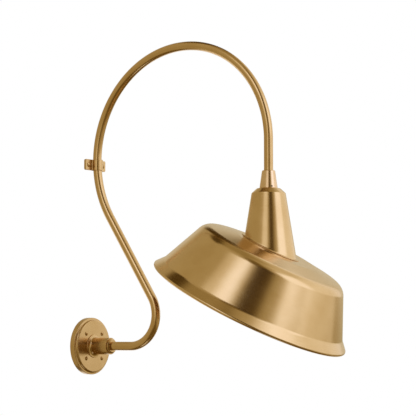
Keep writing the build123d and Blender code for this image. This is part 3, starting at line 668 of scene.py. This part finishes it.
def make_neck():
    """A cone with a bevelled crown, cut obliquely by the shade's top plane, with a small fillet
    and a thin lip that lies on the shade. Rows go down the outside, round the lip and back up the
    inside. The fillet's rows are foot * (1 - t)**2 + 2 * cut * t * (1 - t) + end * t**2."""
    a = np.linspace(0, 2 * pi, neck_columns, endpoint=False)
    ring = np.stack([np.cos(a), np.sin(a), np.zeros(len(a))], 1)
    axis_point = np.array([0, hang_y, 0])
    cone_end = (neck_shoulder_radius + neck_flare * neck_cone_top,
                neck_top - neck_shoulder_drop - neck_cone_top)
    crown = rounded_line([(nipple_radius, neck_top), (neck_top_radius, neck_top),
                          (neck_shoulder_radius, neck_top - neck_shoulder_drop), cone_end],
                         [neck_shoulder_edge, neck_shoulder_edge], arc_steps=neck_bend_rows)
    inner_line = offset_inward(crown, neck_wall, -1)
    inner_line = inner_line[inner_line[:, 0] >= nipple_radius]
    outer_rows, inner_rows = (
        axis_point + line[:, 0, None, None] * ring + line[:, 1, None, None] * np.array([0, 0, 1.0])
        for line in (crown, inner_line))
    cut = cone_cut(crown[-1, 0], crown[-1, 1], ring, neck_flange)
    inner_cut = cone_cut(inner_line[-1, 0], inner_line[-1, 1], ring, 0.0)
    wall_down = cut - outer_rows[-1]
    wall_down /= np.linalg.norm(wall_down, axis=1)[:, None]
    along = np.roll(cut, -1, 0) - np.roll(cut, 1, 0)
    outward = np.cross(along, shade_up)
    outward /= np.linalg.norm(outward, axis=1)[:, None]
    share = np.linspace(0, 1, neck_wall_rows)[1:, None, None]
    foot = cut - wall_down * neck_foot_fillet
    wall_rows = outer_rows[-1] + (foot - outer_rows[-1]) * share
    t = np.linspace(0, 1, neck_fillet_rows)[1:, None, None]
    fillet_end = cut + outward * neck_foot_fillet
    fillet_rows = foot * (1 - t) ** 2 + 2 * cut * t * (1 - t) + fillet_end * t ** 2
    lip = neck_flange_width - neck_flange / 2
    b = np.linspace(0, pi, neck_lip_rows)[:, None, None]
    lip_centre = cut + outward * lip - shade_up * neck_flange / 2
    lip_rows = lip_centre + neck_flange / 2 * (shade_up * np.cos(b) + outward * np.sin(b))
    share = np.linspace(1, 0, neck_inside_rows)[1:, None, None]
    inside = inner_rows[-1] + (inner_cut - inner_rows[-1]) * share
    return np.concatenate([outer_rows, wall_rows, fillet_rows, lip_rows, inner_cut[None], inside,
                           inner_rows[::-1][1:]])


# ---------------------------------------------------------------- shade
shade_top = seat + down_slope * shade_offset


def make_shade():
    """Profile (radius, height) of a spun bowl about its tilted axis: flat top, rounded shoulder,
    skirt and flare, then a rim rolled under in an arc, with a parallel inside."""
    flare_start = (shade_shoulder_radius + shade_skirt_spread,
                   -shade_shoulder_drop - shade_skirt_height)
    flare_end = (flare_start[0] + shade_flare_spread, flare_start[1] - shade_flare_height)
    skin = rounded_line([(shade_hole_radius, 0), (shade_flat_radius, 0),
                         (shade_shoulder_radius, -shade_shoulder_drop), flare_start, flare_end],
                        [shade_shoulder_bend, shade_shoulder_bend, shade_flare_bend],
                        arc_steps=shade_bend_rows, run_step=shade_step)
    heading = (skin[-1] - skin[-2]) / np.linalg.norm(skin[-1] - skin[-2])
    inward = np.array([heading[1], -heading[0]])
    a = np.linspace(0, bead_wrap, bead_rows)[1:, None]
    bead = skin[-1] + bead_radius * (inward * (1 - np.cos(a)) + heading * np.sin(a))
    outer = np.vstack([skin, bead])
    inner = offset_inward(outer, shade_wall, -1)
    profile = np.vstack([outer, inner[::-1]])
    return turned(profile, shade_top, shade_up, down_slope, shade_columns)


# ---------------------------------------------------------------- pieces
screw_half = screw_circle / 2 * sqrt(0.5)
screws = [make_screw(x, z, canopy_depth, screw_head_radius, screw_head_dome, screw_head_rim)
          for x in (-screw_half, screw_half) for z in (-screw_half, screw_half)]
clip_heads = [make_screw(x, clip_level, -ear_front, clip_head_radius, clip_head_dome,
                         clip_head_rim)
              for x in (-clip_screw_place, clip_screw_place)]
stand_off = rounded_line([(stand_off_hole, 0), (stand_off_radius, 0),
                          (stand_off_radius, -base_back), (stand_off_hole, -base_back)],
                         [stand_off_edge, stand_off_edge])
spacer = turned(stand_off, (0, 0, clip_level), out, up, stand_off_columns)
hub_low = node_size("hub")[0]
hub_grub = make_grub((0, hub_low[1] + hub_screw_place, hub_low[2]), down)

grid_piece("canopy_cup", [make_canopy()], "wall_mount", cast_brass, ["canopy"])
grid_piece("canopy_screw_heads", screws, "wall_mount", screw_brass,
           ["canopy_screws"])
grid_piece("hub_lip_ring", [make_base_ring()], "wall_mount", cast_brass,
           ["hub_base_ring"])
grid_piece("hub_body", [make_hub()], "wall_mount", cast_brass, ["hub"])
grid_piece("hub_grub_screw", [hub_grub], "wall_mount", black_steel,
           ["hub_set_screw"])
grid_piece("hub_nose", [make_nose()], "wall_mount", cast_brass, ["hub_nose_ring"])
grid_piece("gooseneck_tube", [make_tube()], "wall_mount", drawn_brass,
           ["gooseneck_arm"], u_size=2 * pi * tube_radius)
grid_piece("clip_band", [make_strap()], "wall_mount", drawn_brass, ["clip_strap"],
           capped=True)
grid_piece("clip_back_plate", make_clip_base(), "wall_mount", drawn_brass,
           ["clip_base"], capped=True)
grid_piece("clip_screw_heads", clip_heads, "wall_mount", screw_brass,
           ["clip_screws"])
grid_piece("clip_spacer", [spacer], "wall_mount", cast_brass, ["clip_stand_off"])
grid_piece("collar_grub_screw", [collar_grub()], "wall_mount", black_steel,
           ["collar_set_screw"])
grid_piece("tapered_collar", [make_collar()], "wall_mount", turned_brass,
           ["neck_collar"])
grid_piece("oblique_neck", [make_neck()], "head", spun_brass, ["neck"])
grid_piece("spun_shade", [make_shade()], "head", spun_brass, ["shade"])

# ---------------------------------------------------------------- camera
photo_pixels = 416
focal_pixels = 1701.0
sensor_width = 36.0             # in mm, as the lens is
camera_azimuth = radians(-54.744)
camera_pitch = radians(4.516)
camera_place = (-2.9491, -2.4114, 0.0082)

camera = bpy.data.objects.new("photo_camera", bpy.data.cameras.new("photo_camera"))
bpy.context.scene.collection.objects.link(camera)
camera.data.sensor_width = sensor_width
camera.data.lens = focal_pixels * sensor_width / photo_pixels
view_right = Vector((cos(camera_azimuth), sin(camera_azimuth), 0))
view_out = Vector((-sin(camera_azimuth) * cos(camera_pitch),
                   cos(camera_azimuth) * cos(camera_pitch), sin(camera_pitch)))
view_up = view_right.cross(view_out)
view_turn = Matrix((view_right, view_up, -view_out)).transposed().to_4x4()
camera.matrix_world = Matrix.Translation(camera_place) @ view_turn
bpy.context.scene.camera = camera

# ---------------------------------------------------------------- studio
floor_centre = (0, -0.3, -2.2)  # the light hangs well over the floor
floor_radius = 0.5
floor_columns = 96
bpy.ops.mesh.primitive_circle_add(vertices=floor_columns, radius=floor_radius,
                                  fill_type="NGON", location=floor_centre)
floor = bpy.context.object
floor.name = "studio_floor"
floor_paint, _, floor_shader = new_material("pale_studio_floor")
floor_shader.inputs["Base Color"].default_value = linear("#F4F4F2")
floor_shader.inputs["Roughness"].default_value = 0.8
floor.data.materials.append(floor_paint)

# Each zone of the studio: the middle's azimuth (from +Y towards +X) and elevation, half its width
# and height, and the width of its soft edge, all in degrees, and its level, where 1 is white. A
# later zone covers the earlier ones.
studio_level = 0.40
studio_zones = {
    "ground": (0, -62, 180, 42, 26, 0.10),
    "low_right": (135, -20, 42, 10, 16, 0.42),
    "low_fill": (-45, -26, 45, 30, 14, 0.36),
    "ceiling": (0, 86, 180, 16, 10, 0.28),
    "right_panel": (118, 24, 50, 27, 12, 0.95),
    "upper_right": (140, 54, 44, 9, 10, 0.68),
    "key_panel": (174, 25, 20, 20, 12, 1.38),
    "left_edge": (-85, 38, 12, 12, 8, 0.85),
    "left_high": (-105, 36, 12, 11, 12, 1.50),
    "left_low": (-104, 12, 13, 14, 10, 0.85),
    "far_panel": (58, 12, 28, 18, 10, 0.62),
    "far_low": (84, -12, 26, 12, 7, 0.32),
    "camera_gap": (-138, 34, 15, 12, 10, 0.02),
    "low_gap": (-137, -1, 9, 25, 8, 0.03),
    "gap_top": (-134, 54, 18, 12, 10, 0.12),
    "flag_left": (8, 64, 38, 9, 5, 0.04),
    "flag_right": (58, 48, 16, 18, 5, 0.04),
}
backdrop_zone = (30, -22, 42, 17, 8)
red_fall = 0.82                 # the dim parts of the studio are warm: red falls slower than the
blue_fall = 1.6                 # level, and blue faster, each as a power of it


def zone_share(tree, azimuth, elevation, zone):
    """How far a direction lies in a zone: 1 inside, 0 outside, with a soft edge."""
    middle_azimuth, middle_elevation, half_width, half_height, soft = zone[:5]
    beside = calculate(tree, "WRAP", calculate(tree, "SUBTRACT", azimuth, middle_azimuth),
                       -180, 180)
    above = calculate(tree, "SUBTRACT", elevation, middle_elevation)
    shares = []
    for angle, half in ((beside, half_width), (above, half_height)):
        away = calculate(tree, "ABSOLUTE", angle)
        share = add_node(tree, "ShaderNodeMapRange", {"Value": away},
                         interpolation_type="SMOOTHSTEP", From_Min=half + soft / 2,
                         From_Max=half - soft / 2)
        shares.append(share.outputs[0])
    return calculate(tree, "MULTIPLY", *shares)


world = bpy.data.worlds.new("studio")
bpy.context.scene.world = world
world.use_nodes = True
tree = world.node_tree
background = tree.nodes["Background"]
place = add_node(tree, "ShaderNodeTexCoord")
direction = add_node(tree, "ShaderNodeSeparateXYZ", {0: place.outputs["Generated"]})
degrees_of = 180 / pi
azimuth = calculate(tree, "MULTIPLY", calculate(tree, "ARCTAN2", direction.outputs["X"],
                                                direction.outputs["Y"]), degrees_of)
elevation = calculate(tree, "MULTIPLY", calculate(tree, "ARCSINE", direction.outputs["Z"]),
                      degrees_of)

base_level = add_node(tree, "ShaderNodeValue")
base_level.outputs[0].default_value = studio_level
level = base_level.outputs[0]
for zone in studio_zones.values():
    share = zone_share(tree, azimuth, elevation, zone)
    level = add_node(tree, "ShaderNodeMix", {"Factor": share, "A": level}, data_type="FLOAT",
                     B=zone[5]).outputs[0]

# The white backdrop: the camera sees it everywhere, metal and glass see it where it hangs behind
# the object, and matt surfaces get its even light.
path = add_node(tree, "ShaderNodeLightPath")
mirrored = calculate(tree, "MAXIMUM", path.outputs["Is Glossy Ray"],
                     path.outputs["Is Transmission Ray"])
behind = calculate(tree, "MULTIPLY", mirrored,
                   zone_share(tree, azimuth, elevation, backdrop_zone))
direct = calculate(tree, "MAXIMUM", path.outputs["Is Camera Ray"], path.outputs["Is Diffuse Ray"])
white = calculate(tree, "MAXIMUM", direct, behind)
strength = add_node(tree, "ShaderNodeMix", {"Factor": white, "A": level}, data_type="FLOAT",
                    B=1.0).outputs[0]
warm = add_node(tree, "ShaderNodeCombineColor", {
    "Red": calculate(tree, "POWER", strength, red_fall), "Green": strength,
    "Blue": calculate(tree, "POWER", strength, blue_fall)})
tree.links.new(warm.outputs[0], background.inputs["Color"])

bpy.context.scene.view_settings.view_transform = "Standard"
